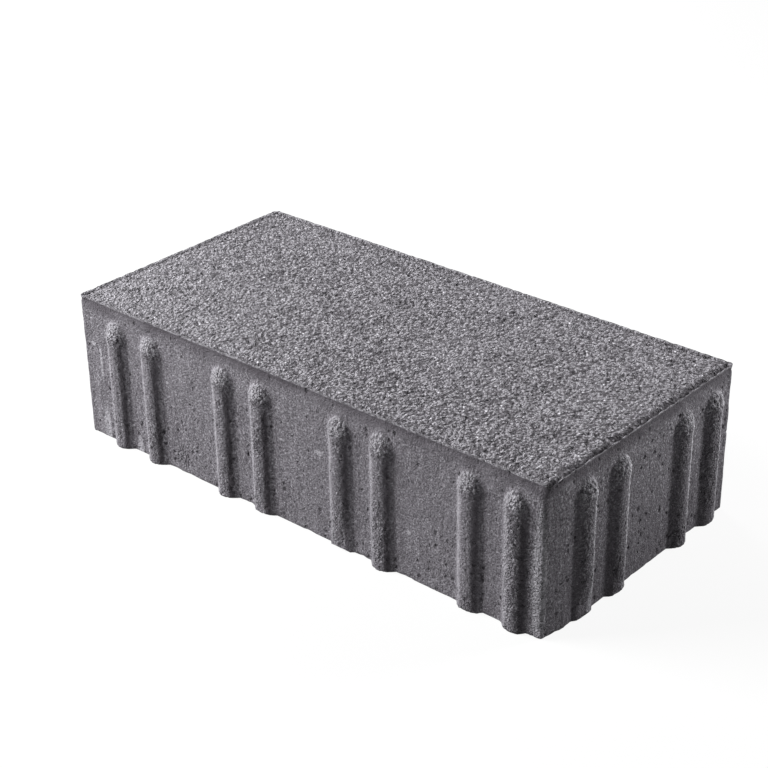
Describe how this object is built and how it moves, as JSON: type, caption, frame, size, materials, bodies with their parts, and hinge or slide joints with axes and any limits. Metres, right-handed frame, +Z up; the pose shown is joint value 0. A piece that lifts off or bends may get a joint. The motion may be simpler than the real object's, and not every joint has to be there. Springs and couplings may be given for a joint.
{
  "type": "concrete paver",
  "caption": "Rectangular anthracite concrete paver with a rough wearing face and pairs of rounded upright spacer ribs on all four sides.",
  "frame": {"origin": "centre of the bed face, the plane the paver lies on", "axes": "+X along the length, +Y along the width, +Z up from the bed face to the wearing face"},
  "size_m": [0.1994, 0.0994, 0.052],
  "materials": {
    "concrete": "anthracite concrete, open granular wearing face, denser pressed sides"
  },
  "bodies": {
    "root": {"paver": "concrete"}
  },
  "joints": []
}
